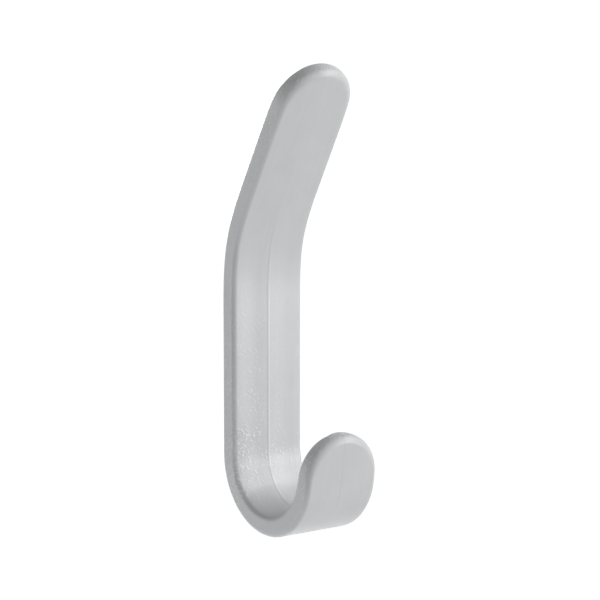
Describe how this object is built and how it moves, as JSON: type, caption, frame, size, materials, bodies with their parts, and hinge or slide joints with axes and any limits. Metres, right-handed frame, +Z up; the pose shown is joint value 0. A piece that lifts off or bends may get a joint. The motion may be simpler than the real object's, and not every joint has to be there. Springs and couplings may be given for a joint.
{
  "type": "double utility hook",
  "caption": "Moulded plastic strip hook: a flat plate for a wall, an upper prong that leans out and a lower end that curls forward and up into a J hook.",
  "frame": {"origin": "centre of the plate's flat back, which lies against the wall", "axes": "+Z up along the plate, +Y into the wall, -Y towards the room, X across the strip"},
  "size_m": [0.025, 0.0436, 0.1375],
  "materials": {
    "grey_plastic": "pale grey, fine matte texture from the mould"
  },
  "bodies": {
    "root": {"hook": "grey_plastic"}
  },
  "joints": []
}
